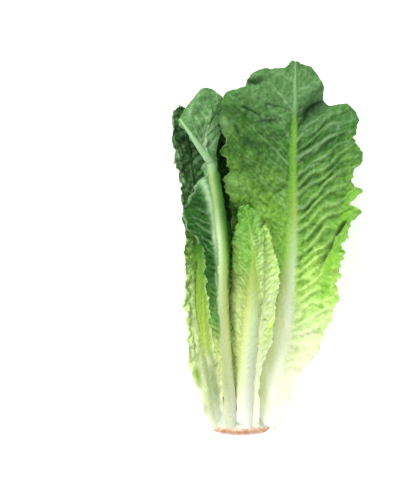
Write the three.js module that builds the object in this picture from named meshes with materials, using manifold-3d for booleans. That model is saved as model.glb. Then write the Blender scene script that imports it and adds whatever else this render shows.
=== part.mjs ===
import * as THREE from "three";
import { mergeVertices } from "three/addons/utils/BufferGeometryUtils.js";
import Module from "manifold-3d";

// A romaine heart that lies on its back. Millimetres, +Y towards the leaf tips, +Z up.
const STEM_RADIUS = 21; // of the cut face
const STEM_CORE_RADIUS = 6.5; // where the leaves grow round it
const STEM_CORE_TIP_RADIUS = 2.5;
const STEM_DISC = 6; // from the middle of the domed cut face to the shoulder
const STEM_LENGTH = 46;
const STEM_CENTRE = [-18, 24]; // x and z of its axis
const CUT_Y = -135.4;
const BLADE = 1; // thickness of a leaf blade
const CLEARANCE = 0.35; // between two leaves where one presses into the other
const FLOOR = 0;
const RIB_OUT = 0.8; // share of a midrib's thickness on the face where it stands out
const RIB_IN = 0.2;
const CROWDING = 1.5; // above 1 the columns of a blade stand closer near its midrib
const STEM_SIDES = 28;
const PLACE = [0.14, -0.395, 0]; // brings the middle of the heart's base to the origin

const wasm = await Module();
wasm.setup();

const radians = THREE.MathUtils.degToRad;

// Smooth interpolation of rows [u, value, value...] at u.
function along(rows, u) {
  let i = 1;
  while (i < rows.length - 1 && rows[i][0] < u) i++;
  const before = rows[Math.max(i - 2, 0)];
  const from = rows[i - 1];
  const to = rows[i];
  const after = rows[Math.min(i + 1, rows.length - 1)];
  const span = to[0] - from[0];
  const t = THREE.MathUtils.clamp((u - from[0]) / span, 0, 1);
  return from.slice(1).map((value, k) => {
    const slopeFrom = (to[k + 1] - before[k + 1]) / (to[0] - before[0]) * span;
    const slopeTo = (after[k + 1] - value) / (after[0] - from[0]) * span;
    const rise = to[k + 1] - value;
    return value + t * slopeFrom
      + t * t * (3 * rise - 2 * slopeFrom - slopeTo)
      + t * t * t * (slopeFrom + slopeTo - 2 * rise);
  });
}

// A slow irregular wave between about -1 and 1.
function wave(x, seed) {
  return 0.6 * Math.sin(x + seed) + 0.4 * Math.sin(2.3 * x + 1.7 * seed);
}

// One half of one row of a blade, walked outwards from the midrib: [distance in plan, height, share].
function halfRow(side, u, columns, extra) {
  const reach = along(side.outline, u)[0] + extra;
  const [start, middle, end] = along(side.bend, u);
  const angleAt = (share) => radians(
    (1 - share) * (1 - 2 * share) * start + 4 * share * (1 - share) * middle
      + share * (2 * share - 1) * end,
  );
  const shares = [];
  for (let j = 0; j <= columns; j++) shares.push((j / columns) ** CROWDING);
  let across = 0;
  let up = 0;
  const walk = [[0, 0, 0]];
  for (let j = 1; j <= columns; j++) {
    const step = shares[j] - shares[j - 1];
    const angle = angleAt((shares[j] + shares[j - 1]) / 2);
    across += step * Math.cos(angle);
    up += step * Math.sin(angle);
    walk.push([across, up, shares[j]]);
  }
  return walk.map(([x, z, share]) => [x * reach / across, z * reach / across, share]);
}

// The middle surface of a leaf as rows of points.
function leafSurface(leaf, extra) {
  const rib = new THREE.CatmullRomCurve3(leaf.rib.map((p) => new THREE.Vector3(...p)));
  const rows = [];
  for (let i = 0; i <= leaf.rows; i++) {
    const u = i / leaf.rows;
    const forward = rib.getTangentAt(u);
    const atEnd = i === 0 ? -extra : i === leaf.rows ? extra : 0;
    const origin = rib.getPointAt(u).addScaledVector(forward, atEnd);
    const right = new THREE.Vector3().crossVectors(forward, new THREE.Vector3(0, 0, 1)).normalize();
    const upward = new THREE.Vector3().crossVectors(right, forward);
    const [sweep] = along(leaf.sweep, u);
    const row = [];
    for (const hand of [-1, 1]) {
      const side = hand < 0 ? leaf.left : leaf.right;
      const half = halfRow(side, u, leaf.columns, extra).map(([across, up, share]) => {
        const phase = u * leaf.ruffles * 2 * Math.PI;
        const ruffle = leaf.ruffle * share ** 2 * wave(phase, leaf.seed + hand);
        const ridge = leaf.ridge * Math.sin(Math.PI * share) * (i % 2 ? 1 : -1);
        return {
          point: origin.clone()
            .addScaledVector(right, hand * across)
            .addScaledVector(forward, sweep * across)
            .addScaledVector(upward, up + ruffle + ridge),
          fromRib: Math.hypot(across, up),
          u,
        };
      });
      row.push(...(hand < 0 ? half.reverse().slice(0, -1) : half));
    }
    rows.push(row);
  }
  return rows;
}

function normalAt(rows, i, j) {
  const alongRib = new THREE.Vector3().subVectors(
    rows[Math.min(i + 1, rows.length - 1)][j].point,
    rows[Math.max(i - 1, 0)][j].point,
  );
  const across = new THREE.Vector3().subVectors(
    rows[i][Math.min(j + 1, rows[i].length - 1)].point,
    rows[i][Math.max(j - 1, 0)].point,
  );
  return across.cross(alongRib).normalize();
}

// A closed leaf: the blade with the midrib standing out of one face. extra makes it thicker all round.
function leafGeometry(leaf, extra = 0) {
  const rows = leafSurface(leaf, extra);
  const width = rows[0].length;
  const faces = [[], []];
  rows.forEach((row, i) => row.forEach(({ point, fromRib, u }, j) => {
    const normal = normalAt(rows, i, j);
    const [ribDepth, ribHalfWidth] = along(leaf.ribSize, u);
    const bulge = ribDepth * Math.exp(-((fromRib / ribHalfWidth) ** 2));
    for (const face of [0, 1]) {
      const outward = face ? 1 : -1;
      const share = outward === leaf.ribFace ? RIB_OUT : RIB_IN;
      const moved = point.clone()
        .addScaledVector(normal, outward * (BLADE / 2 + extra + share * bulge));
      const lowest = FLOOR + (face ? BLADE : 0);
      if (leaf.onFloor && moved.z < lowest && !extra) moved.z = lowest;
      faces[face].push(moved);
    }
  }));
  const points = [...faces[0], ...faces[1]];
  const upper = faces[0].length;
  const index = [];
  const quad = (a, b, c, d) => index.push(a, b, c, a, c, d);
  for (let i = 0; i < rows.length - 1; i++) {
    for (let j = 0; j < width - 1; j++) {
      const a = i * width + j;
      const b = a + 1;
      const c = b + width;
      const d = a + width;
      index.push(a, c, b, a, d, c);
      quad(upper + a, upper + b, upper + c, upper + d);
    }
  }
  const border = [];
  for (let j = 0; j < width - 1; j++) border.push(j);
  for (let i = 0; i < rows.length - 1; i++) border.push(i * width + width - 1);
  for (let j = width - 1; j > 0; j--) border.push((rows.length - 1) * width + j);
  for (let i = rows.length - 1; i > 0; i--) border.push(i * width);
  border.forEach((a, k) => {
    const b = border[(k + 1) % border.length];
    quad(a, b, upper + b, upper + a);
  });
  const geometry = new THREE.BufferGeometry();
  const positions = new Float32Array(points.flatMap((p) => [p.x, p.y, p.z]));
  geometry.setAttribute("position", new THREE.BufferAttribute(positions, 3));
  geometry.setIndex(index);
  return geometry;
}

function stemGeometry() {
  const profile = [
    [0, 0],
    [STEM_RADIUS * 0.4, 0.4],
    [STEM_RADIUS * 0.75, 1.4],
    [STEM_RADIUS * 0.95, 3],
    [STEM_RADIUS, 4.2],
    [STEM_RADIUS - 0.7, STEM_DISC],
    [STEM_CORE_RADIUS + 1, STEM_DISC + 0.2],
    [STEM_CORE_RADIUS, STEM_DISC + 6],
    [STEM_CORE_TIP_RADIUS, STEM_LENGTH - 2],
    [0, STEM_LENGTH],
  ].map(([radius, y]) => new THREE.Vector2(radius, y));
  return new THREE.LatheGeometry(profile, STEM_SIDES).translate(STEM_CENTRE[0], CUT_Y, STEM_CENTRE[1]);
}

function solidOf(geometry) {
  const bare = geometry.clone();
  bare.deleteAttribute("normal");
  bare.deleteAttribute("uv");
  const merged = mergeVertices(bare, 1e-4);
  return new wasm.Manifold(new wasm.Mesh({
    numProp: 3,
    vertProperties: merged.attributes.position.array,
    triVerts: new Uint32Array(merged.index.array),
  }));
}

function geometryOf(solid) {
  const mesh = solid.getMesh();
  const geometry = new THREE.BufferGeometry();
  geometry.setAttribute("position", new THREE.BufferAttribute(mesh.vertProperties, 3));
  geometry.setIndex(new THREE.BufferAttribute(mesh.triVerts, 1));
  geometry.computeVertexNormals();
  return geometry;
}

function largestBody(solid) {
  return solid.decompose().reduce((a, b) => (b.volume() > a.volume() ? b : a));
}

// Each leaf: the midrib as points, and for each side the outline as [share of the length, reach in plan]
// and the bend as [share of the length, slope at the midrib, halfway and at the margin, in degrees].
const LEAVES = [
  {
    name: "broad_leaf", colour: 0x6aa65a, rows: 46, columns: 7, seed: 1,
    rib: [
      [-2.5, -129, 27], [-0.5, -114, 25.5], [4.5, -90, 23], [10.5, -70, 22.5], [14, -48, 23.5],
      [16.5, -20, 25], [19, 6, 26.5], [19.5, 35, 29.5], [19.5, 62, 33], [20.5, 96, 38],
      [21, 135.5, 41],
    ],
    ribSize: [[0, 8, 8.5], [0.2, 7.5, 7.5], [0.5, 4, 4.5], [0.8, 1.6, 2.5], [1, 0.5, 1]],
    ribFace: -1,
    sweep: [[0, 0], [0.15, 0.1], [0.45, 0.4], [0.6, 0.5], [0.95, 0.5], [1, 0.3]],
    left: {
      outline: [
        [0, 7], [0.1, 11], [0.25, 22], [0.42, 31], [0.5, 33], [0.52, 38], [0.54, 47], [0.59, 50],
        [0.62, 46], [0.66, 52], [0.69, 48], [0.71, 51], [0.73, 59], [0.75, 61], [0.77, 58], [0.79, 53],
        [0.82, 49], [0.84, 42], [0.86, 36], [0.89, 34], [0.92, 28], [0.95, 17.5], [0.97, 8], [0.99, 4],
        [1, 1],
      ],
      bend: [
        [0, 20, 10, 0], [0.2, 12, 14, 18], [0.5, 2, 12, 24], [0.7, 2, 20, 40], [0.85, 6, 16, 6],
        [1, 0, 0, 0],
      ],
    },
    right: {
      outline: [
        [0, 9], [0.02, 13], [0.07, 17], [0.14, 18], [0.17, 21], [0.22, 26], [0.28, 32], [0.32, 34],
        [0.43, 36], [0.48, 39], [0.51, 43], [0.53, 46], [0.55, 41], [0.57, 48], [0.59, 43], [0.62, 43],
        [0.64, 48], [0.67, 49], [0.71, 43], [0.74, 45], [0.78, 44], [0.8, 41], [0.82, 35], [0.83, 26],
        [0.85, 21], [0.89, 21], [0.93, 17], [0.95, 14], [0.97, 10], [0.98, 6], [1, 1],
      ],
      bend: [
        [0, 10, 25, 35], [0.2, 10, 28, 45], [0.45, 6, 26, 60], [0.55, 5, 22, 44], [0.7, 5, 18, 25],
        [0.84, -4, -10, -8], [1, -4, -10, -20],
      ],
    },
    ruffle: 2.2, ruffles: 9, ridge: 0.7,
  },
  {
    name: "hooded_leaf", colour: 0x8fb285, rows: 44, columns: 6, seed: 2,
    rib: [
      [-24.5, -129, 38.5], [-25.5, -110, 42], [-28, -90, 46.5], [-30, -65, 51], [-31.5, -37, 55],
      [-31.5, -8, 58.5], [-33, 14, 60.5], [-35.5, 35, 62.5], [-39, 56, 63.5], [-41, 62, 64],
      [-45, 67.5, 65], [-50, 74.5, 66], [-55, 82.5, 66], [-59.5, 89, 64.5], [-62, 92.5, 63],
    ],
    ribSize: [
      [0, 4.6, 3.2], [0.3, 5, 3.1], [0.6, 5, 3.4], [0.78, 4, 3.2], [0.83, 2, 2.6], [0.9, 1.2, 2],
      [1, 0.4, 1.2],
    ],
    ribFace: 1,
    sweep: [[0, 0.1], [0.6, 0.3], [0.78, 0.3], [0.82, 0.45], [0.94, 0.45], [1, 0.62]],
    left: {
      outline: [
        [0, 4.5], [0.1, 5], [0.3, 8.5], [0.44, 11.5], [0.52, 14], [0.56, 16.5], [0.59, 20], [0.6, 24],
        [0.65, 25], [0.68, 24], [0.7, 20], [0.72, 17.5], [0.75, 14.5], [0.77, 11], [0.79, 4.5],
        [0.81, 7.5], [0.83, 5.5], [0.84, 2.5], [0.87, 1.5], [1, 1.2],
      ],
      bend: [
        [0, -8, -50, -60], [0.4, -8, -45, -55], [0.6, -10, -38, -44], [0.75, -10, -40, -50],
        [0.82, -15, -55, -60], [0.86, -50, -75, -80], [1, -50, -70, -75],
      ],
    },
    right: {
      outline: [
        [0, 3.5], [0.15, 4], [0.4, 4.5], [0.5, 6], [0.6, 7], [0.7, 5], [0.8, 3], [0.82, 3.5],
        [0.84, 9], [0.85, 17], [0.88, 20], [0.9, 26], [0.91, 30], [0.93, 33], [0.96, 31], [0.98, 27],
        [0.99, 22], [1, 15],
      ],
      bend: [
        [0, -10, -50, -60], [0.4, -10, -60, -68], [0.75, -10, -60, -65], [0.83, -12, -30, -45],
        [0.88, -6, -22, -42], [1, -4, -14, -24],
      ],
    },
    ruffle: 1.6, ruffles: 10, ridge: 0.3,
  },
  {
    name: "left_leaf", colour: 0x4f7f49, rows: 34, columns: 6, seed: 3,
    rib: [
      [-31.5, -129, 27], [-35, -123, 26], [-40, -94.5, 25], [-44.5, -65.5, 25], [-48, -29.5, 25.5],
      [-49.5, -1, 26.5], [-50.5, 30, 29.5], [-53, 55, 33.5], [-57, 80, 38.5], [-61.5, 103, 42],
    ],
    ribSize: [[0, 6, 6], [0.3, 5, 5.5], [0.6, 2.5, 4], [1, 0.5, 1.5]],
    ribFace: -1,
    sweep: [[0, 0], [0.3, 0.2], [0.6, 0.5], [0.9, 0.5], [1, 0.3]],
    left: {
      outline: [
        [0, 7], [0.07, 9], [0.12, 10], [0.14, 12], [0.19, 14], [0.23, 13.5], [0.26, 12], [0.33, 12],
        [0.39, 11.5], [0.45, 9.5], [0.5, 10], [0.57, 8.5], [0.61, 9.5], [0.72, 10], [0.78, 10.5],
        [0.83, 11.5], [0.88, 10.5], [0.93, 9], [0.98, 6.5], [1, 1.2],
      ],
      bend: [[0, 30, 45, 30], [0.25, 14, 46, 25], [0.5, 12, 48, 25], [0.75, 36, 56, 40], [1, 10, 20, 10]],
    },
    right: {
      outline: [[0, 5], [0.2, 9], [0.5, 14], [0.75, 18], [0.9, 15], [1, 1.2]],
      bend: [[0, -20, -10, 0], [0.3, -10, 0, 5], [0.7, -8, 4, 14], [1, 0, 5, 10]],
    },
    ruffle: 1.6, ruffles: 11, ridge: 0.3,
  },
  {
    name: "heart_leaf_left", colour: 0xa9d266, rows: 28, columns: 6, seed: 4,
    rib: [
      [-16.5, -129, 40], [-15.5, -110, 43.5], [-14, -85, 48], [-12, -61, 53], [-10, -32, 57],
      [-10, -6, 58.5], [-11.5, 10, 56.5], [-15, 31, 50],
    ],
    ribSize: [[0, 5, 6.5], [0.3, 3.5, 6], [0.6, 2.2, 4], [1, 0.5, 1.5]],
    ribFace: 1,
    sweep: [[0, 0], [0.4, 0.3], [0.8, 0.5], [1, 0.3]],
    left: {
      outline: [
        [0, 4], [0.12, 5], [0.19, 7], [0.33, 11.5], [0.39, 13], [0.45, 15], [0.54, 17], [0.62, 16.5],
        [0.69, 15.5], [0.78, 14], [0.87, 10], [0.95, 7], [0.98, 5], [1, 1.2],
      ],
      bend: [
        [0, -6, -45, -60], [0.4, -8, -42, -50], [0.6, -6, -34, -42], [0.8, -5, -26, -36],
        [1, -5, -15, -20],
      ],
    },
    right: {
      outline: [
        [0, 5], [0.2, 4.5], [0.35, 5.5], [0.48, 6], [0.6, 7], [0.7, 8], [0.86, 9.5], [0.91, 9],
        [0.96, 6.5], [1, 1.2],
      ],
      bend: [[0, -6, -45, -60], [0.5, -4, -20, -30], [0.8, -4, -20, -34], [1, -5, -15, -20]],
    },
    ruffle: 1, ruffles: 9, ridge: 0.4,
  },
  {
    name: "heart_leaf_right", colour: 0xc6de92, rows: 24, columns: 6, seed: 5,
    rib: [
      [-9.5, -129, 36], [-10, -105, 39], [-8.5, -75, 43.5], [-5, -45, 48], [-3, -15, 51],
      [-2, 17, 48.5],
    ],
    ribSize: [[0, 4.5, 5], [0.4, 3, 4], [0.8, 1.6, 2.5], [1, 0.5, 1.5]],
    ribFace: 1,
    sweep: [[0, 0], [0.4, 0.3], [0.8, 0.5], [1, 0.3]],
    left: {
      outline: [[0, 3], [0.2, 4], [0.5, 8], [0.8, 8], [1, 1.2]],
      bend: [[0, -6, -35, -50], [0.5, -5, -15, -25], [1, -5, -15, -20]],
    },
    right: {
      outline: [
        [0, 4], [0.15, 4], [0.28, 5], [0.33, 8], [0.4, 12], [0.47, 10.5], [0.52, 11], [0.63, 12],
        [0.76, 11.5], [0.83, 9], [0.9, 6], [0.96, 4], [1, 1.2],
      ],
      bend: [[0, -6, -45, -60], [0.5, -4, -20, -36], [0.8, -4, -24, -40], [1, -5, -15, -20]],
    },
    ruffle: 1.3, ruffles: 9, ridge: 0.4,
  },
  {
    name: "heart_leaf_inner", colour: 0xb4cf66, rows: 18, columns: 4, seed: 6,
    rib: [
      [-18.5, -129, 33], [-19, -100, 37], [-18, -70, 43], [-16, -35, 46], [-14, 2, 43],
    ],
    ribSize: [[0, 3, 4], [0.5, 2.2, 3], [1, 0.5, 1.5]],
    ribFace: 1,
    sweep: [[0, 0], [0.4, 0.3], [0.8, 0.5], [1, 0.3]],
    left: {
      outline: [[0, 4], [0.2, 6], [0.5, 6.5], [0.8, 6], [1, 1.2]],
      bend: [[0, -6, -35, -50], [0.5, -6, -32, -48], [1, -5, -15, -20]],
    },
    right: {
      outline: [[0, 3], [0.2, 5], [0.5, 8], [0.8, 8], [1, 1.2]],
      bend: [[0, -6, -35, -50], [0.5, -6, -22, -32], [1, -5, -15, -20]],
    },
    ruffle: 0.8, ruffles: 7, ridge: 0.3,
  },
  {
    name: "heart_leaf_core", colour: 0x8cc84e, rows: 18, columns: 4, seed: 10,
    rib: [
      [-17, -106, 31.5], [-15, -80, 33.5], [-12, -45, 36], [-10, -5, 37.5], [-13, 20, 40],
      [-17, 33, 43],
    ],
    ribSize: [[0, 2.4, 4], [0.5, 2.2, 3], [1, 0.5, 1.5]],
    ribFace: -1,
    sweep: [[0, 0], [0.4, 0.3], [0.8, 0.5], [1, 0.3]],
    left: {
      outline: [[0, 3], [0.2, 6], [0.5, 10], [0.8, 9], [1, 1.2]],
      bend: [[0, 5, 5, 10], [0.5, 0, 8, 20], [1, 5, 15, 20]],
    },
    right: {
      outline: [[0, 3], [0.2, 8], [0.5, 13], [0.8, 12], [1, 1.2]],
      bend: [[0, 5, 5, 10], [0.5, 0, 10, 25], [1, 5, 15, 20]],
    },
    ruffle: 1, ruffles: 7, ridge: 0.3,
  },
  {
    name: "back_leaf_middle", colour: 0x9cc57a, rows: 22, columns: 5, seed: 7,
    rib: [
      [-17, -129, 12], [-15, -105, 12.5], [-9, -60, 14], [-3, -15, 16], [0, 30, 19], [2, 65, 23],
      [3, 100, 30],
    ],
    ribSize: [[0, 6, 7], [0.4, 5, 5.5], [0.8, 2, 3], [1, 0.5, 1.5]],
    ribFace: -1,
    sweep: [[0, 0], [0.4, 0.3], [0.8, 0.5], [1, 0.3]],
    left: {
      outline: [[0, 8], [0.2, 14], [0.5, 22], [0.8, 26], [0.94, 16], [1, 1.2]],
      bend: [[0, 0, 20, 35], [0.5, 0, 14, 22], [1, 5, 10, 15]],
    },
    right: {
      outline: [[0, 8], [0.2, 14], [0.5, 22], [0.8, 26], [0.94, 16], [1, 1.2]],
      bend: [[0, 0, 10, 20], [0.5, 0, 8, 14], [1, 5, 10, 15]],
    },
    ruffle: 1.5, ruffles: 7, ridge: 0.4,
  },
  {
    name: "back_leaf_left", colour: 0x6aa65a, rows: 28, columns: 6, seed: 8, onFloor: true,
    rib: [
      [-29, -129, 11], [-28, -110, 6.5], [-27, -80, 3.6], [-25.5, -40, 3.2], [-25, 0, 3.2],
      [-26, 40, 3.6], [-28.5, 70, 9], [-31, 97, 20],
    ],
    ribSize: [[0, 6, 7], [0.4, 5, 6], [0.8, 2, 3], [1, 0.5, 1.5]],
    ribFace: -1,
    sweep: [[0, 0], [0.4, 0.3], [0.8, 0.5], [1, 0.3]],
    left: {
      outline: [[0, 9], [0.1, 15], [0.3, 22], [0.55, 26], [0.8, 27], [0.93, 18], [1, 1.2]],
      bend: [[0, 30, 55, 70], [0.3, 8, 45, 68], [0.7, 6, 42, 62], [1, 15, 30, 40]],
    },
    right: {
      outline: [[0, 9], [0.1, 14], [0.3, 20], [0.55, 24], [0.8, 24], [0.93, 15], [1, 1.2]],
      bend: [[0, -25, -10, 5], [0.3, 0, 2, 4], [0.7, 0, 2, 6], [1, 0, 5, 10]],
    },
    ruffle: 1.6, ruffles: 9, ridge: 0.4,
  },
  {
    name: "back_leaf_right", colour: 0x6aa65a, rows: 28, columns: 6, seed: 9, onFloor: true,
    rib: [
      [-5, -129, 11], [0, -110, 7], [9, -80, 3.6], [17, -40, 3.2], [22.5, 0, 3.2], [25.5, 40, 3.6],
      [28, 70, 9], [30, 104, 22],
    ],
    ribSize: [[0, 6, 7], [0.4, 5, 6], [0.8, 2, 3], [1, 0.5, 1.5]],
    ribFace: -1,
    sweep: [[0, 0], [0.4, 0.3], [0.8, 0.5], [1, 0.3]],
    left: {
      outline: [[0, 7], [0.1, 12], [0.3, 20], [0.55, 26], [0.8, 26], [0.93, 15], [1, 1.2]],
      bend: [[0, -35, -10, 10], [0.3, 2, 12, 14], [0.7, 3, 12, 14], [1, 0, 5, 10]],
    },
    right: {
      outline: [[0, 7], [0.1, 12], [0.3, 19], [0.55, 25], [0.8, 26], [0.93, 17], [1, 1.2]],
      bend: [[0, 20, 40, 55], [0.3, 8, 40, 62], [0.7, 6, 38, 58], [1, 15, 30, 40]],
    },
    ruffle: 1.6, ruffles: 9, ridge: 0.4,
  },
];

const heart = new THREE.Group();

function addPiece(name, geometry, colour) {
  const material = new THREE.MeshStandardMaterial({ color: colour, roughness: 0.5, metalness: 0 });
  const mesh = new THREE.Mesh(geometry.translate(...PLACE), material);
  mesh.name = name;
  heart.add(mesh);
}

const stemSolid = solidOf(stemGeometry());
addPiece("stem", geometryOf(stemSolid), 0xd9a27c);

// Leaves earlier in the list keep their shape, and later ones are cut clear of them.
let taken = stemSolid;
for (const leaf of LEAVES) {
  const solid = largestBody(solidOf(leafGeometry(leaf)).subtract(taken));
  addPiece(leaf.name, geometryOf(solid), leaf.colour);
  taken = taken.add(solidOf(leafGeometry(leaf, CLEARANCE)));
}

export default heart;
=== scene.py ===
import bmesh
import bpy
import numpy as np
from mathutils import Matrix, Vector


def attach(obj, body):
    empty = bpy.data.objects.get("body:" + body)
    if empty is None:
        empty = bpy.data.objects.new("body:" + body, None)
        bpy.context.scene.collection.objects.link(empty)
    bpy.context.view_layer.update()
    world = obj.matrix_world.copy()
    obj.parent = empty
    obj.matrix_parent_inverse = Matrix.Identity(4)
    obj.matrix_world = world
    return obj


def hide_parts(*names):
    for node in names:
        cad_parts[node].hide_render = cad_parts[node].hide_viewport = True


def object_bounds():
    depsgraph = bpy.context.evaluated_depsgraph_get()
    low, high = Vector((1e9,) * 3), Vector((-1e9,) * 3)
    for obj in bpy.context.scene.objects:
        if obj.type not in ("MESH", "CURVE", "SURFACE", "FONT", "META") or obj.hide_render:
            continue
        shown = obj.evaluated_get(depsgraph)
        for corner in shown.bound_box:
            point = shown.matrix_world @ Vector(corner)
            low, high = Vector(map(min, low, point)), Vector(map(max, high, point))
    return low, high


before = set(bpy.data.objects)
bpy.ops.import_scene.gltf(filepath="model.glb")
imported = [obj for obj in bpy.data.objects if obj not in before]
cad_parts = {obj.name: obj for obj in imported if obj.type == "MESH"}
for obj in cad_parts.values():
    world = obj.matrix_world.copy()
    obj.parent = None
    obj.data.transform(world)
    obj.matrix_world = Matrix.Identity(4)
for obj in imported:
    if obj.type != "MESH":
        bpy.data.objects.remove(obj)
cad_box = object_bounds()

# Lengths are in mm unless a name or a comment says otherwise.
MM = 0.001  # m
PLACE = np.array([0.14, -0.395, 0.0])  # brings the middle of the heart's base to the origin
BLADE = 0.7  # thickness of a blade
RIB_OUT = 0.8  # share of a midrib's thickness on the face where it stands out
RIB_IN = 0.2
CROWDING = 1.4  # above 1 the columns of a blade stand closer near its midrib
FLOOR = 0.0
STEM_CENTRE = (-18.0, 24.0)  # x and z of its axis
STEM_SIDES = 180
STEM_WAVER = 0.02  # share by which its radius varies
CUT_Y = -135.4
CUT_ROUGHNESS, CUT_LUMP = 0.35, 3  # height and width of the lumps on the cut face
# The domed cut face, the shoulder, and the flesh between the midribs: radius and distance behind the cut.
STEM_PROFILE = [(0, 0), (8, 0.4), (15, 1.3), (19, 2.7), (20.7, 4.2), (20.4, 5.6), (18, 7.5), (16, 10),
                (14.5, 14), (13, 22), (11, 31), (7, 40), (0.5, 45)]
SKIN_FADES, SKIN_ENDS = 6.25, 8.525  # distances behind the cut between which its dried skin fades out
SKIN_WAVERS = 4  # how much nearer to the cut it does so in places

# The view is 288 mm wide and 360 mm high at the height of the upper leaves.
VIEW_CENTRE = (-47.7, -1.1)
VIEW_LENGTH = 360.0
VIEW_HEIGHT = 45.0
CAMERA_DISTANCE = 1500.0
SENSOR = 36.0

FLOOR_REACH = 3.0  # m, from the middle to an edge
WINDOW_PLACE = (-0.66, 0.86, 1.08)  # m
WINDOW_SIZE = 0.9  # m
WINDOW_POWER = 23  # W
SKY = 1.0

# Sizes of the lumps in the random relief.
TOOTH = 2.6
LOBE = 7.5
VEIN_WARPS = [(19, 17, 20, 0.6), (8, 10, 30, 0.2)]  # along the rib, across it, shift between its sides, share
VEIN_PATCH = 9
VEIN_FORK = 12
MAIN_WARP = (30, 25)  # along the rib, across it
CRUMPLES = [(13, 16, 4, 1), (5.5, 6.5, 5, 0.6), (2.6, 3, 10, 0.42)]  # x, y, seed, share
FOLD = (16, 21)  # x, y
FOLD_BEND = 9
CREASE_WAVER = 5
STEM_RIDGES = [(7, 5, 0, 1), (15, 3, 9, 0.5)]  # lumps a radian, length, shift, share

# Where the relief of a blade begins and is full, and how sharp its lines are.
OPEN_BLADE = (0.5, 1.7)  # half widths of the midrib
GROWN = (0.08, 0.36)  # shares of the length
CALM_LENGTH = 0.06  # share of the length in which the teeth of the margin calm down
RIB_FADE_LENGTH = 0.35  # share of the length in which the midrib fades
MAIN_SHARPNESS = 24
NET_WIDTH, PUFF_WIDTH = 0.14, 0.45  # in cells


def new_object(name, data):
    added = bpy.data.objects.new(name, data)
    bpy.context.scene.collection.objects.link(added)
    return added


def new_mesh(name, bm):
    mesh = bpy.data.meshes.new(name)
    bm.to_mesh(mesh)
    bm.free()
    return mesh


def add_camera():
    camera = new_object("camera", bpy.data.cameras.new("camera"))
    camera.data.sensor_width = SENSOR
    camera.data.lens = SENSOR * CAMERA_DISTANCE / VIEW_LENGTH
    camera.location = (VIEW_CENTRE[0] * MM, VIEW_CENTRE[1] * MM, (CAMERA_DISTANCE + VIEW_HEIGHT) * MM)
    bpy.context.scene.camera = camera


add_camera()


# ---- shapes ----

def along(rows, u):
    """Smooth interpolation of rows (u, value, value...) at every u."""
    rows = np.array(rows, float)
    at = np.clip(np.searchsorted(rows[:, 0], u, side="left"), 1, len(rows) - 1)
    start, end = rows[at - 1], rows[at]
    before, after = rows[np.maximum(at - 2, 0)], rows[np.minimum(at + 1, len(rows) - 1)]
    span = end[:, :1] - start[:, :1]
    t = np.clip((u[:, None] - start[:, :1]) / span, 0, 1)
    slope_start = (end - before)[:, 1:] / (end - before)[:, :1] * span
    slope_end = (after - start)[:, 1:] / (after - start)[:, :1] * span
    rise = (end - start)[:, 1:]
    return (start[:, 1:] + t * slope_start + t**2 * (3 * rise - 2 * slope_start - slope_end)
            + t**3 * (slope_start + slope_end - 2 * rise))


def curve_points(points, shares):
    """Points and directions at equal shares of the length of a smooth curve, and its length."""
    points = np.array(points, float)
    points = np.vstack([2 * points[0] - points[1], points, 2 * points[-1] - points[-2]])
    samples = 60
    fine = np.linspace(0, 1, samples, endpoint=False)[:, None]
    path = []
    for p0, p1, p2, p3 in zip(points, points[1:], points[2:], points[3:]):
        d0, d1, d2 = (np.linalg.norm(b - a) ** 0.5 for a, b in ((p0, p1), (p1, p2), (p2, p3)))
        t1 = ((p1 - p0) / d0 - (p2 - p0) / (d0 + d1) + (p2 - p1) / d1) * d1
        t2 = ((p2 - p1) / d1 - (p3 - p1) / (d1 + d2) + (p3 - p2) / d2) * d1
        path.append(p1 + t1 * fine + (3 * (p2 - p1) - 2 * t1 - t2) * fine**2
                    + (2 * (p1 - p2) + t1 + t2) * fine**3)
    path = np.vstack(path + [points[-2:-1]])
    lengths = np.concatenate([[0], np.cumsum(np.linalg.norm(np.diff(path, axis=0), axis=1))])
    step = 0.002
    place, ahead, behind = (
        np.stack([np.interp(at * lengths[-1], lengths, path[:, k]) for k in range(3)], 1)
        for at in (shares, shares + step, shares - step)
    )
    direction = ahead - behind
    return place, direction / np.linalg.norm(direction, axis=1, keepdims=True), lengths[-1]


def wave(x, seed):
    """A slow irregular wave between about -1 and 1."""
    return 0.6 * np.sin(x + seed) + 0.4 * np.sin(2.3 * x + 1.7 * seed)


def grain(x, y, seed):
    """Smooth random relief between about -1 and 1, with lumps one unit wide. Each use has its own seed."""
    size = 61
    angle = np.random.default_rng(seed).uniform(0, 2 * np.pi, (size, size))
    x0, y0 = np.floor(x).astype(int), np.floor(y).astype(int)
    fx, fy = x - x0, y - y0

    def corner(i, j):
        a = angle[(x0 + i) % size, (y0 + j) % size]
        return np.cos(a) * (fx - i) + np.sin(a) * (fy - j)

    sx, sy = fx * fx * (3 - 2 * fx), fy * fy * (3 - 2 * fy)
    low = corner(0, 0) * (1 - sx) + corner(1, 0) * sx
    high = corner(0, 1) * (1 - sx) + corner(1, 1) * sx
    return 1.5 * (low * (1 - sy) + high * sy)


def smooth_step(low, high, x):
    t = np.clip((x - low) / (high - low), 0, 1)
    return t * t * (3 - 2 * t)


def half_blade(outline, bend, u, shares):
    """How far out and up each point of one half of a blade lies from the midrib."""
    reach = along(outline, u)
    start, middle, end = (along(bend, u)[:, k : k + 1] for k in range(3))
    mid = (shares[1:] + shares[:-1]) / 2
    angle = np.radians((1 - mid) * (1 - 2 * mid) * start + 4 * mid * (1 - mid) * middle
                       + mid * (2 * mid - 1) * end)
    step = np.diff(shares)
    zero = np.zeros((len(u), 1))
    across = np.hstack([zero, np.cumsum(step * np.cos(angle), 1)])
    up = np.hstack([zero, np.cumsum(step * np.sin(angle), 1)])
    scale = reach / across[:, -1:]
    return across * scale, up * scale


def surface_normals(points):
    along_rib = np.gradient(points, axis=0)
    across = np.gradient(points, axis=1)
    normal = np.cross(across, along_rib)
    return normal / np.linalg.norm(normal, axis=2, keepdims=True)


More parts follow.
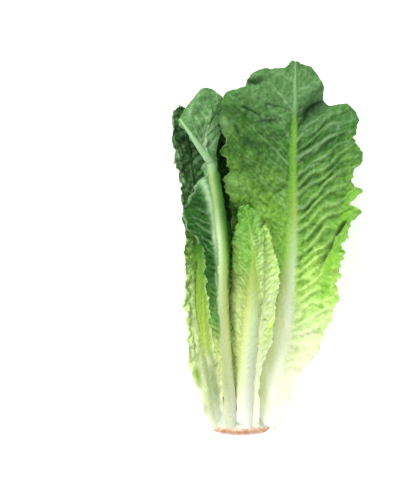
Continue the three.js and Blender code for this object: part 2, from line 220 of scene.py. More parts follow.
def leaf_surface(leaf):
    """The middle surface of a leaf as a grid of points, with what is known at each of them."""
    u = np.linspace(0, 1, leaf["rows"] + 1)
    shares = (np.arange(leaf["columns"] + 1) / leaf["columns"]) ** CROWDING
    seed = leaf["seed"]
    origin, forward, length = curve_points(leaf["rib"], u)
    right = np.cross(forward, (0, 0, 1))
    right /= np.linalg.norm(right, axis=1, keepdims=True)
    upward = np.cross(right, forward)
    sweep = along(leaf["sweep"], u)
    halves = []
    for hand, side in ((-1, "left"), (1, "right")):
        across, up = half_blade(leaf[side + "_outline"], leaf[side + "_bend"], u, shares)
        up = up * across**2 / (across**2 + (0.5 * along(leaf["rib_size"], u)[:, 1:]) ** 2)
        phase = u[:, None] * leaf["ruffles"] * 2 * np.pi
        ruffle = leaf["ruffle"] * shares**2 * wave(phase, seed + hand)
        station = u[:, None] * length + sweep * across
        frill = grain(station / leaf["frill_size"], shares * 2 + 5 * hand, seed + 40)
        frill = leaf["frill"] * shares**5 * frill
        ragged = 1 - 0.7 * smooth_step(leaf["calm"], leaf["calm"] + CALM_LENGTH, u)[:, None]
        tooth = ragged * shares**4 * (leaf["tooth"] * grain(station / TOOTH, shares + 9 * hand, seed + 60)
                                      + leaf["lobe"] * grain(station / LOBE, shares + 19 * hand, seed + 61))
        points = (origin[:, None] + right[:, None] * (hand * (across + tooth))[..., None]
                  + forward[:, None] * (sweep * across)[..., None]
                  + upward[:, None] * (up + ruffle + frill)[..., None])
        facts = np.stack([np.hypot(across, up), u[:, None] + 0 * across, hand * shares + 0 * across,
                          u[:, None] * length + 0 * across], 2)
        grid = np.concatenate([points, facts], 2)
        halves.append(grid[:, ::-1][:, :-1] if hand < 0 else grid)
    grid = np.concatenate(halves, 1)
    return grid[..., :3], grid[..., 3:]


def cell_border(x, y, seed):
    """Distance to the nearest border of irregular cells about one unit wide, 0 on the border."""
    size = 97
    spots = np.random.default_rng(seed).uniform(0.1, 0.9, (size, size, 2))
    x0, y0 = np.floor(x).astype(int), np.floor(y).astype(int)
    nearest, second = np.full(x.shape, np.inf), np.full(x.shape, np.inf)
    for i in (-1, 0, 1):
        for j in (-1, 0, 1):
            spot = spots[(x0 + i) % size, (y0 + j) % size]
            distance = np.hypot(x0 + i + spot[..., 0] - x, y0 + j + spot[..., 1] - y)
            second = np.minimum(second, np.maximum(nearest, distance))
            nearest = np.minimum(nearest, distance)
    return second - nearest


def patch_share(patch, x, y):
    """How much of a patch there is at each point, in plan."""
    at_x, at_y, half_length, half_width, direction = patch[:5]
    c, s = np.cos(np.radians(direction)), np.sin(np.radians(direction))
    dx, dy = x - at_x, y - at_y
    return np.exp(-(((c * dx + s * dy) / half_length) ** 2) - ((c * dy - s * dx) / half_width) ** 2)


def crease_share(crease, x, y):
    """How much of a crease there is at each point, in plan.

    It wavers a little, and narrows and fades towards its last point.
    """
    points, half_width = crease[:2]
    at_x, at_y = x / CREASE_WAVER, y / CREASE_WAVER
    x, y = x + 0.6 * grain(at_x, at_y, 80), y + 0.6 * grain(at_x, at_y, 81)
    nearest, gone, start = np.full(x.shape, np.inf), np.zeros(x.shape), 0.0
    for (x0, y0), (x1, y1) in zip(points, points[1:]):
        length = np.hypot(x1 - x0, y1 - y0)
        t = np.clip(((x - x0) * (x1 - x0) + (y - y0) * (y1 - y0)) / length**2, 0, 1)
        distance = np.hypot(x - x0 - t * (x1 - x0), y - y0 - t * (y1 - y0))
        gone = np.where(distance < nearest, start + t * length, gone)
        nearest = np.minimum(nearest, distance)
        start += length
    gone = gone / start
    return np.exp(-((nearest / (half_width * (1.15 - 0.6 * gone))) ** 2)) * (1 - 0.7 * gone**3)


def rib_taper(leaf, u):
    """Share of a midrib's width that still looks like midrib. Near the tip the blade's relief takes over."""
    return 1 - 0.8 * smooth_step(leaf["rib_fade"], leaf["rib_fade"] + RIB_FADE_LENGTH, u)


def leaf_relief(leaf, facts, points, rib_half_width):
    """Heights above the middle surface, and the paint masks."""
    from_rib, u, v, station = (facts[..., k] for k in range(4))
    x, y = points[..., 0] + PLACE[0], points[..., 1] + PLACE[1]
    share = np.abs(v)
    side = np.where(v < 0, 1.0, 0.0)
    seed = 10 * leaf["seed"]

    # The side veins, each with a crest, and with forks towards the margin. They are stronger in some places.
    veins = along(leaf["veins"], u[:, 0])
    sweep = along(leaf["sweep"], u[:, 0])
    slope = np.where(v < 0, veins[:, 0:1], veins[:, 1:2])
    strength = np.clip(np.where(v < 0, veins[:, 2:3], veins[:, 3:4]), 0, 1.5)
    patchy = 0.3 + 0.7 * smooth_step(-0.35, 0.45, grain(x / VEIN_PATCH, y / VEIN_PATCH, seed + 11))
    strength = strength * np.where(v < 0, patchy, 1)
    run = station - (slope - sweep) * from_rib
    warp = sum(part * grain(run / length, from_rib / width + shift * side, seed + k)
               for k, (length, width, shift, part) in enumerate(VEIN_WARPS))
    phase = run / leaf["vein_spacing"] * np.where(v < 0, leaf["left_veins"], 1) + 0.4 * side + warp
    crest = 0.5 + 0.5 * np.cos(2 * np.pi * phase)
    fork = grain(run / VEIN_FORK, from_rib / VEIN_FORK, seed + 9)
    fork = 0.5 + 0.5 * np.cos(4 * np.pi * phase + 1.2 * fork)
    crest = crest + 0.5 * smooth_step(0.5, 1, share) * (fork - crest)
    power = 0.85 + 0.8 * grain(phase * 0.9, from_rib / VEIN_FORK + 9 * side, seed + 2)

    # The few main veins, the cells of the net between all of them, and the crumples and folds across them.
    main_run = station - (leaf["main_rise"] - sweep) * from_rib
    main_phase = (main_run / leaf["main_spacing"] + 0.5 * side
                  + 0.5 * grain(main_run / MAIN_WARP[0], from_rib / MAIN_WARP[1], seed + 6))
    main_vein = (0.5 + 0.5 * np.cos(2 * np.pi * main_phase)) ** MAIN_SHARPNESS
    border = cell_border(run / leaf["cell"] + warp, from_rib / (1.6 * leaf["cell"]) + 40 * side, seed + 3)
    net = np.exp(-((border / NET_WIDTH) ** 2))
    puff = np.sqrt(np.clip(border / PUFF_WIDTH, 0, 1)) - 0.6
    crumple = sum(part * grain(x / width, y / length, seed + k) for width, length, k, part in CRUMPLES)
    bend = 0.4 * grain(x / FOLD_BEND, y / FOLD_BEND, seed + 8)
    fold = np.clip(1 - 5 * np.abs(grain(x / FOLD[0] + bend, y / FOLD[1] + bend, seed + 7)), 0, 1) ** 2
    off_rib = from_rib / (rib_half_width * rib_taper(leaf, u))
    open_blade = smooth_step(*OPEN_BLADE, off_rib)
    grown = smooth_step(*GROWN, u)

    marks = {key: np.zeros_like(u) for key in (LIFT, SMOOTH, DARK, BRIGHT, PALE, WARM)}
    spots = [(patch[-1], patch_share(patch, x, y)) for patch in PATCHES.get(leaf["name"], [])]
    spots += [(crease[-1], crease_share(crease, x, y)) for crease in CREASES.get(leaf["name"], [])]
    for spot, amount in spots:
        for key, value in spot.items():
            marks[key] += value * amount
    marks[PALE] = marks[PALE] * smooth_step(0.5, 1.2, off_rib)
    rough_share = 1 - np.clip(marks[SMOOTH], 0, 1)

    to_margin = 1 - 0.75 * smooth_step(0.7, 1, share)
    rough = (leaf["vein_height"] * power * (crest**2 - 0.3) * strength * to_margin
             + leaf["puff"] * puff + leaf["crumple"] * crumple - leaf["fold"] * fold
             + leaf["main_height"] * main_vein * (1 - share**2))
    height = rough * open_blade * grown * rough_share + marks[LIFT]
    strength = np.clip(strength, 0, 1) * rough_share
    vein = crest**4 * np.clip(power, 0, 1) * strength
    vein = np.maximum(vein, leaf["main_paint"] * main_vein) * smooth_step(0.2, 1, off_rib)
    # Painted shade: groove darkens the blade between the side veins, along the folds and in the hollows of
    # the crumples.
    hollow = smooth_step(0.1, 0.8, -crumple) * leaf["crumple"] * rough_share
    groove = (1 - crest) ** 1.5 * strength + 0.6 * fold * leaf["fold"] + 0.35 * hollow
    # Flank colours one side of a midrib more deeply: partly the midrib's own lime tone, partly painted shade,
    # as on the hooded leaf's side turned from the lamp.
    side_of_rib = leaf["flank"] * np.sign(v) * from_rib / (rib_half_width * leaf["rib_paint"])
    return height, {
        "along": u,
        "vein": np.clip(vein * (1 - 0.6 * share**2), 0, 1),
        "net": np.clip(net * open_blade, 0, 1),
        "groove": np.clip(groove * open_blade * grown, 0, 1),
        "flank": abs(leaf["flank"]) * smooth_step(-0.45, 0.6, side_of_rib),
        **{key: np.clip(marks[key], 0, 1) for key in (DARK, BRIGHT, PALE, WARM)},
    }


def leaf_faces(leaf):
    """The two faces of a leaf as grids of points, and the paint masks of each."""
    points, facts = leaf_surface(leaf)
    smooth_normal = surface_normals(points)
    size = along(leaf["rib_size"], facts[:, 0, 1])
    height, masks = leaf_relief(leaf, facts, points, size[:, 1:])
    bulge = size[:, :1] * np.exp(-((facts[..., 0] / size[:, 1:]) ** 2))
    rib_width = size[:, 1:] * leaf["rib_paint"] * rib_taper(leaf, facts[..., 1])
    masks["rib"] = np.exp(-((facts[..., 0] / rib_width) ** 4))
    points = points + smooth_normal * height[..., None]
    normal = surface_normals(points)
    faces = []
    for outward in (-1, 1):
        share = RIB_OUT if outward == leaf["rib_face"] else RIB_IN
        moved = points + normal * (outward * (BLADE / 2 + share * bulge))[..., None]
        if leaf["on_floor"]:
            moved[..., 2] = np.maximum(moved[..., 2], FLOOR + (BLADE if outward > 0 else 0))
        faces.append(moved)
    return faces, masks


def keep_in_box(points):
    low, high = (np.array(corner) for corner in cad_box)
    return np.clip(points, low, high)


def add_piece(name, node, mesh, material):
    mesh.materials.append(material)
    mesh.polygons.foreach_set("use_smooth", [True] * len(mesh.polygons))
    piece = new_object(name, mesh)
    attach(piece, "root")
    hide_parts(node)


def add_leaf(leaf, material):
    """A leaf: two grids laid on its faces, joined round the margin, with its paint masks as attributes."""
    faces, masks = leaf_faces(leaf)
    rows, columns = leaf["rows"], 2 * leaf["columns"]
    bm = bmesh.new()
    for _ in faces:
        bmesh.ops.create_grid(bm, x_segments=columns, y_segments=rows, size=1)
    flat = np.array([vert.co[:2] for vert in bm.verts])
    column = np.rint((flat[:, 0] + 1) / 2 * columns).astype(int)
    row = np.rint((flat[:, 1] + 1) / 2 * rows).astype(int)
    upper = np.arange(len(flat)) >= len(flat) // 2
    place = np.where(upper[:, None], faces[1][row, column], faces[0][row, column])
    place = keep_in_box((place + PLACE) * MM)
    bm.faces.ensure_lookup_table()
    bmesh.ops.reverse_faces(bm, faces=bm.faces[: len(bm.faces) // 2])
    for vert, co in zip(bm.verts, place):
        vert.co = co
    bmesh.ops.bridge_loops(bm, edges=[edge for edge in bm.edges if edge.is_boundary])
    mesh = new_mesh(leaf["name"], bm)
    masks = {mask: values[row, column] for mask, values in masks.items()}
    masks["outer"] = upper == (leaf["rib_face"] > 0)
    for mask, values in masks.items():
        attribute = mesh.attributes.new(mask, "FLOAT", "POINT")
        attribute.data.foreach_set("value", values.astype(np.float32))
    add_piece(leaf["name"] + "_dressed", leaf["name"], mesh, material)


# What most leaves have in common.
COMMON = dict(
    sweep=[[0, 0], [0.4, 0.3], [0.8, 0.5], [1, 0.3]], rib_face=-1, on_floor=False, left_veins=1,
    main_spacing=13, main_rise=1, main_height=0.4, main_paint=0.5, frill_size=6, calm=1, rib_paint=0.95,
    flank=0,
)

# Each leaf has its midrib as points, and for each side its outline as [share of the length, reach in plan]
# and its bend as [share of the length, slope at the midrib, halfway and at the margin, in degrees]. rib_size
# is [share of the length, thickness, half width]. sweep is [share of the length, how far forward a line
# across the blade runs per mm outwards].
LEAVES = {
    "broad_leaf": dict(
        seed=1, ruffle=2.2, ruffles=9,
        rib=[[-2.5, -129, 27], [-0.5, -114, 25.5], [4.5, -90, 23], [10.5, -70, 22.5], [14, -48, 23.5],
             [16.5, -20, 25], [19, 6, 26.5], [19.5, 35, 29.5], [19.5, 62, 33], [20.5, 96, 38],
             [21, 135.5, 41]],
        rib_size=[[0, 8, 8.5], [0.2, 7.5, 7.5], [0.5, 4, 4.5], [0.8, 1.6, 2.5], [1, 0.5, 1]],
        sweep=[[0, 0], [0.15, 0.1], [0.45, 0.4], [0.6, 0.5], [0.95, 0.5], [1, 0.3]],
        left_outline=[[0, 7], [0.1, 11], [0.25, 22], [0.42, 31], [0.5, 33], [0.52, 38], [0.54, 47],
                      [0.59, 50], [0.62, 46], [0.66, 52], [0.69, 48], [0.71, 51], [0.73, 59], [0.75, 61],
                      [0.77, 58], [0.79, 53], [0.82, 49], [0.84, 42], [0.86, 36], [0.89, 34], [0.92, 28],
                      [0.95, 17.5], [0.97, 8], [0.99, 4], [1, 1]],
        left_bend=[[0, 20, 10, 0], [0.2, 12, 14, 18], [0.5, 2, 12, 24], [0.7, 2, 20, 40], [0.85, 6, 16, 6],
                   [1, 0, 0, 0]],
        right_outline=[[0, 9], [0.02, 13], [0.07, 17], [0.14, 18], [0.17, 21], [0.22, 26], [0.28, 32],
                       [0.32, 34], [0.43, 36], [0.48, 39], [0.51, 43], [0.53, 46], [0.55, 41], [0.57, 48],
                       [0.59, 43], [0.62, 43], [0.64, 48], [0.67, 49], [0.71, 43], [0.74, 45], [0.78, 44],
                       [0.8, 41], [0.82, 35], [0.83, 26], [0.85, 21], [0.89, 21], [0.93, 17], [0.95, 14],
                       [0.97, 10], [0.98, 6], [1, 1]],
        right_bend=[[0, 10, 25, 35], [0.2, 10, 28, 45], [0.45, 6, 26, 60], [0.55, 5, 22, 44],
                    [0.7, 5, 18, 25], [0.84, -4, -10, -8], [1, -4, -10, -20]],
    ),
    "hooded_leaf": dict(
        seed=2, ruffle=1.6, ruffles=10, rib_face=1,
        rib=[[-24.5, -129, 38.5], [-25.5, -110, 42], [-28, -90, 46.5], [-30, -65, 51], [-31.5, -37, 55],
             [-31.5, -8, 58.5], [-33, 14, 60.5], [-35.5, 35, 62.5], [-39, 56, 63.5], [-41, 62, 64],
             [-45, 67.5, 65], [-50, 74.5, 66], [-55, 82.5, 66], [-59.5, 89, 64.5], [-62, 92.5, 63]],
        rib_size=[[0, 4.6, 3.2], [0.3, 5, 3.1], [0.6, 5, 3.4], [0.78, 4, 3.2], [0.83, 2, 2.6], [0.9, 1.2, 2],
                  [1, 0.4, 1.2]],
        sweep=[[0, 0.1], [0.6, 0.3], [0.78, 0.3], [0.82, 0.45], [0.94, 0.45], [1, 0.62]],
        left_outline=[[0, 4.5], [0.1, 5], [0.3, 8.5], [0.44, 11.5], [0.52, 14], [0.56, 16.5], [0.59, 20],
                      [0.6, 24], [0.65, 25], [0.68, 24], [0.7, 20], [0.72, 17.5], [0.75, 14.5], [0.77, 11],
                      [0.79, 4.5], [0.81, 7.5], [0.83, 5.5], [0.84, 2.5], [0.87, 1.5], [1, 1.2]],
        left_bend=[[0, -8, -50, -60], [0.4, -8, -45, -55], [0.6, -10, -38, -44], [0.75, -10, -40, -50],
                   [0.82, -15, -55, -60], [0.86, -50, -75, -80], [1, -50, -70, -75]],
        right_outline=[[0, 3.5], [0.15, 4], [0.4, 4.5], [0.5, 6], [0.6, 7], [0.7, 5], [0.8, 3], [0.82, 3.5],
                       [0.84, 9], [0.85, 17], [0.88, 20], [0.9, 26], [0.91, 30], [0.93, 33], [0.96, 31],
                       [0.98, 27], [0.99, 22], [1, 15]],
        right_bend=[[0, -10, -50, -60], [0.4, -10, -60, -68], [0.75, -10, -60, -65], [0.83, -12, -30, -45],
                    [0.88, -6, -22, -42], [1, -4, -14, -24]],
    ),
    "left_leaf": dict(
        seed=3, ruffle=1.6, ruffles=11,
        rib=[[-31.5, -129, 27], [-35, -123, 26], [-40, -94.5, 25], [-44.5, -65.5, 25], [-48, -29.5, 25.5],
             [-49.5, -1, 26.5], [-50.5, 30, 29.5], [-53, 55, 33.5], [-57, 80, 38.5], [-61.5, 103, 42]],
        rib_size=[[0, 6, 6], [0.3, 5, 5.5], [0.6, 2.5, 4], [1, 0.5, 1.5]],
        sweep=[[0, 0], [0.3, 0.2], [0.6, 0.5], [0.9, 0.5], [1, 0.3]],
        left_outline=[[0, 7], [0.07, 9], [0.12, 10], [0.14, 12], [0.19, 14], [0.23, 13.5], [0.26, 12],
                      [0.33, 12], [0.39, 11.5], [0.45, 9.5], [0.5, 10], [0.57, 8.5], [0.61, 9.5], [0.72, 10],
                      [0.78, 10.5], [0.83, 11.5], [0.88, 10.5], [0.93, 9], [0.98, 6.5], [1, 1.2]],
        left_bend=[[0, 30, 45, 30], [0.25, 14, 46, 25], [0.5, 12, 48, 25], [0.75, 36, 56, 40],
                   [1, 10, 20, 10]],
        right_outline=[[0, 5], [0.2, 9], [0.5, 14], [0.75, 18], [0.9, 15], [1, 1.2]],
        right_bend=[[0, -20, -10, 0], [0.3, -10, 0, 5], [0.7, -8, 4, 14], [1, 0, 5, 10]],
    ),
    "heart_leaf_left": dict(
        seed=4, ruffle=1, ruffles=9, rib_face=1,
        rib=[[-16.5, -129, 40], [-15.5, -110, 43.5], [-14, -85, 48], [-12, -61, 53], [-10, -32, 57],
             [-10, -6, 58.5], [-11.5, 10, 56.5], [-15, 31, 50]],
        rib_size=[[0, 5, 6.5], [0.3, 3.5, 6], [0.6, 2.2, 4], [1, 0.5, 1.5]],
        left_outline=[[0, 4], [0.12, 5], [0.19, 7], [0.33, 11.5], [0.39, 13], [0.45, 15], [0.54, 17],
                      [0.62, 16.5], [0.69, 15.5], [0.78, 14], [0.87, 10], [0.95, 7], [0.98, 5], [1, 1.2]],
        left_bend=[[0, -6, -45, -60], [0.4, -8, -42, -50], [0.6, -6, -34, -42], [0.8, -5, -26, -36],
                   [1, -5, -15, -20]],
        right_outline=[[0, 5], [0.2, 4.5], [0.35, 5.5], [0.48, 6], [0.6, 7], [0.7, 8], [0.86, 9.5], [0.91, 9],
                       [0.96, 6.5], [1, 1.2]],
        right_bend=[[0, -6, -45, -60], [0.5, -4, -20, -30], [0.8, -4, -20, -34], [1, -5, -15, -20]],
    ),
    "heart_leaf_right": dict(
        seed=5, ruffle=1.3, ruffles=9, rib_face=1,
        rib=[[-9.5, -129, 36], [-10, -105, 39], [-8.5, -75, 43.5], [-5, -45, 48], [-3, -15, 51],
             [-2, 17, 48.5]],
        rib_size=[[0, 4.5, 5], [0.4, 3, 4], [0.8, 1.6, 2.5], [1, 0.5, 1.5]],
        left_outline=[[0, 3], [0.2, 4], [0.5, 8], [0.8, 8], [1, 1.2]],
        left_bend=[[0, -6, -35, -50], [0.5, -5, -15, -25], [1, -5, -15, -20]],
        right_outline=[[0, 4], [0.15, 4], [0.28, 5], [0.33, 8], [0.4, 12], [0.47, 10.5], [0.52, 11],
                       [0.63, 12], [0.76, 11.5], [0.83, 9], [0.9, 6], [0.96, 4], [1, 1.2]],
        right_bend=[[0, -6, -45, -60], [0.5, -4, -20, -36], [0.8, -4, -24, -40], [1, -5, -15, -20]],
    ),
    "heart_leaf_inner": dict(
        seed=6, ruffle=0.8, ruffles=7, rib_face=1,
        rib=[[-18.5, -129, 33], [-19, -100, 37], [-18, -70, 43], [-16, -35, 46], [-14, 2, 43]],
        rib_size=[[0, 3, 4], [0.5, 2.2, 3], [1, 0.5, 1.5]],
        left_outline=[[0, 4], [0.2, 6], [0.5, 6.5], [0.8, 6], [1, 1.2]],
        left_bend=[[0, -6, -35, -50], [0.5, -6, -32, -48], [1, -5, -15, -20]],
        right_outline=[[0, 3], [0.2, 5], [0.5, 8], [0.8, 8], [1, 1.2]],
        right_bend=[[0, -6, -35, -50], [0.5, -6, -22, -32], [1, -5, -15, -20]],
    ),
    "heart_leaf_core": dict(
        seed=10, ruffle=1, ruffles=7,
        rib=[[-17, -106, 31.5], [-15, -80, 33.5], [-12, -45, 36], [-10, -5, 37.5], [-13, 20, 40],
             [-17, 33, 43]],
        rib_size=[[0, 2.4, 4], [0.5, 2.2, 3], [1, 0.5, 1.5]],
        left_outline=[[0, 3], [0.2, 6], [0.5, 10], [0.8, 9], [1, 1.2]],
        left_bend=[[0, 5, 5, 10], [0.5, 0, 8, 20], [1, 5, 15, 20]],
        right_outline=[[0, 3], [0.2, 8], [0.5, 13], [0.8, 12], [1, 1.2]],
        right_bend=[[0, 5, 5, 10], [0.5, 0, 10, 25], [1, 5, 15, 20]],
    ),
    "back_leaf_middle": dict(
        seed=7, ruffle=1.5, ruffles=7,
        rib=[[-17, -129, 12], [-15, -105, 12.5], [-9, -60, 14], [-3, -15, 16], [0, 30, 19], [2, 65, 23],
             [3, 100, 30]],
        rib_size=[[0, 6, 7], [0.4, 5, 5.5], [0.8, 2, 3], [1, 0.5, 1.5]],
        left_outline=[[0, 8], [0.2, 14], [0.5, 22], [0.8, 26], [0.94, 16], [1, 1.2]],
        left_bend=[[0, 0, 20, 35], [0.5, 0, 14, 22], [1, 5, 10, 15]],
        right_outline=[[0, 8], [0.2, 14], [0.5, 22], [0.8, 26], [0.94, 16], [1, 1.2]],
        right_bend=[[0, 0, 10, 20], [0.5, 0, 8, 14], [1, 5, 10, 15]],
    ),
    "back_leaf_left": dict(
        seed=8, ruffle=1.6, ruffles=9, on_floor=True,
        rib=[[-29, -129, 11], [-28, -110, 6.5], [-27, -80, 3.6], [-25.5, -40, 3.2], [-25, 0, 3.2],
             [-26, 40, 3.6], [-28.5, 70, 9], [-31, 97, 20]],
        rib_size=[[0, 6, 7], [0.4, 5, 6], [0.8, 2, 3], [1, 0.5, 1.5]],
        left_outline=[[0, 9], [0.1, 15], [0.3, 22], [0.55, 26], [0.8, 27], [0.93, 18], [1, 1.2]],
        left_bend=[[0, 30, 55, 70], [0.3, 8, 45, 68], [0.7, 6, 42, 62], [1, 15, 30, 40]],
        right_outline=[[0, 9], [0.1, 14], [0.3, 20], [0.55, 24], [0.8, 24], [0.93, 15], [1, 1.2]],
        right_bend=[[0, -25, -10, 5], [0.3, 0, 2, 4], [0.7, 0, 2, 6], [1, 0, 5, 10]],
    ),
    "back_leaf_right": dict(
        seed=9, ruffle=1.6, ruffles=9, on_floor=True,
        rib=[[-5, -129, 11], [0, -110, 7], [9, -80, 3.6], [17, -40, 3.2], [22.5, 0, 3.2], [25.5, 40, 3.6],
             [28, 70, 9], [30, 104, 22]],
        rib_size=[[0, 6, 7], [0.4, 5, 6], [0.8, 2, 3], [1, 0.5, 1.5]],
        left_outline=[[0, 7], [0.1, 12], [0.3, 20], [0.55, 26], [0.8, 26], [0.93, 15], [1, 1.2]],
        left_bend=[[0, -35, -10, 10], [0.3, 2, 12, 14], [0.7, 3, 12, 14], [1, 0, 5, 10]],
        right_outline=[[0, 7], [0.1, 12], [0.3, 19], [0.55, 25], [0.8, 26], [0.93, 17], [1, 1.2]],
        right_bend=[[0, 20, 40, 55], [0.3, 8, 40, 62], [0.7, 6, 38, 58], [1, 15, 30, 40]],
    ),
}

# Colours of romaine tissue, from the bleached foot of a leaf to its dark and waxy top, and of the dried cut.
# The darkest greens also serve as painted shade, bone partly as painted shade at the foot of the outer
# midribs, and the pale and lime tones of the marks partly as painted light.
TISSUE = {
    "chalk": "#FAFCF4", "cream": "#F4FCE0", "ivory": "#F0F4DC", "fog": "#E4E8DC", "bone": "#C4C8B4",
    "lemon": "#F8FFC0", "primrose": "#E8F4BC", "celery": "#D4E0B4", "straw": "#CCCCA4", "wheat": "#BCC87C",
    "pale_lime": "#D0EC98", "lime": "#C0E66C", "spring": "#A4D068", "bright": "#A0C850", "apple": "#8CC048",
    "jade": "#B4CC98", "khaki": "#A0AE7C", "olive": "#98AC58", "citrus": "#AEC85A", "butter": "#DCE49C",
    "clover": "#74AE34", "acid": "#92B838", "grass": "#74A43C", "moor": "#8AA866", "sage": "#8EAE82",
    "dusk": "#749C64", "mist": "#547E46", "leaf": "#62962E", "emerald": "#509428", "fern": "#4A8030",
    "bottle": "#42703A", "moss": "#3A6B1E", "forest": "#205614", "night": "#183C16", "pine": "#0C4004",
    "sand": "#E4C4A4", "biscuit": "#D4A484", "tan": "#C09070", "rust": "#A47450", "bark": "#806040",
}
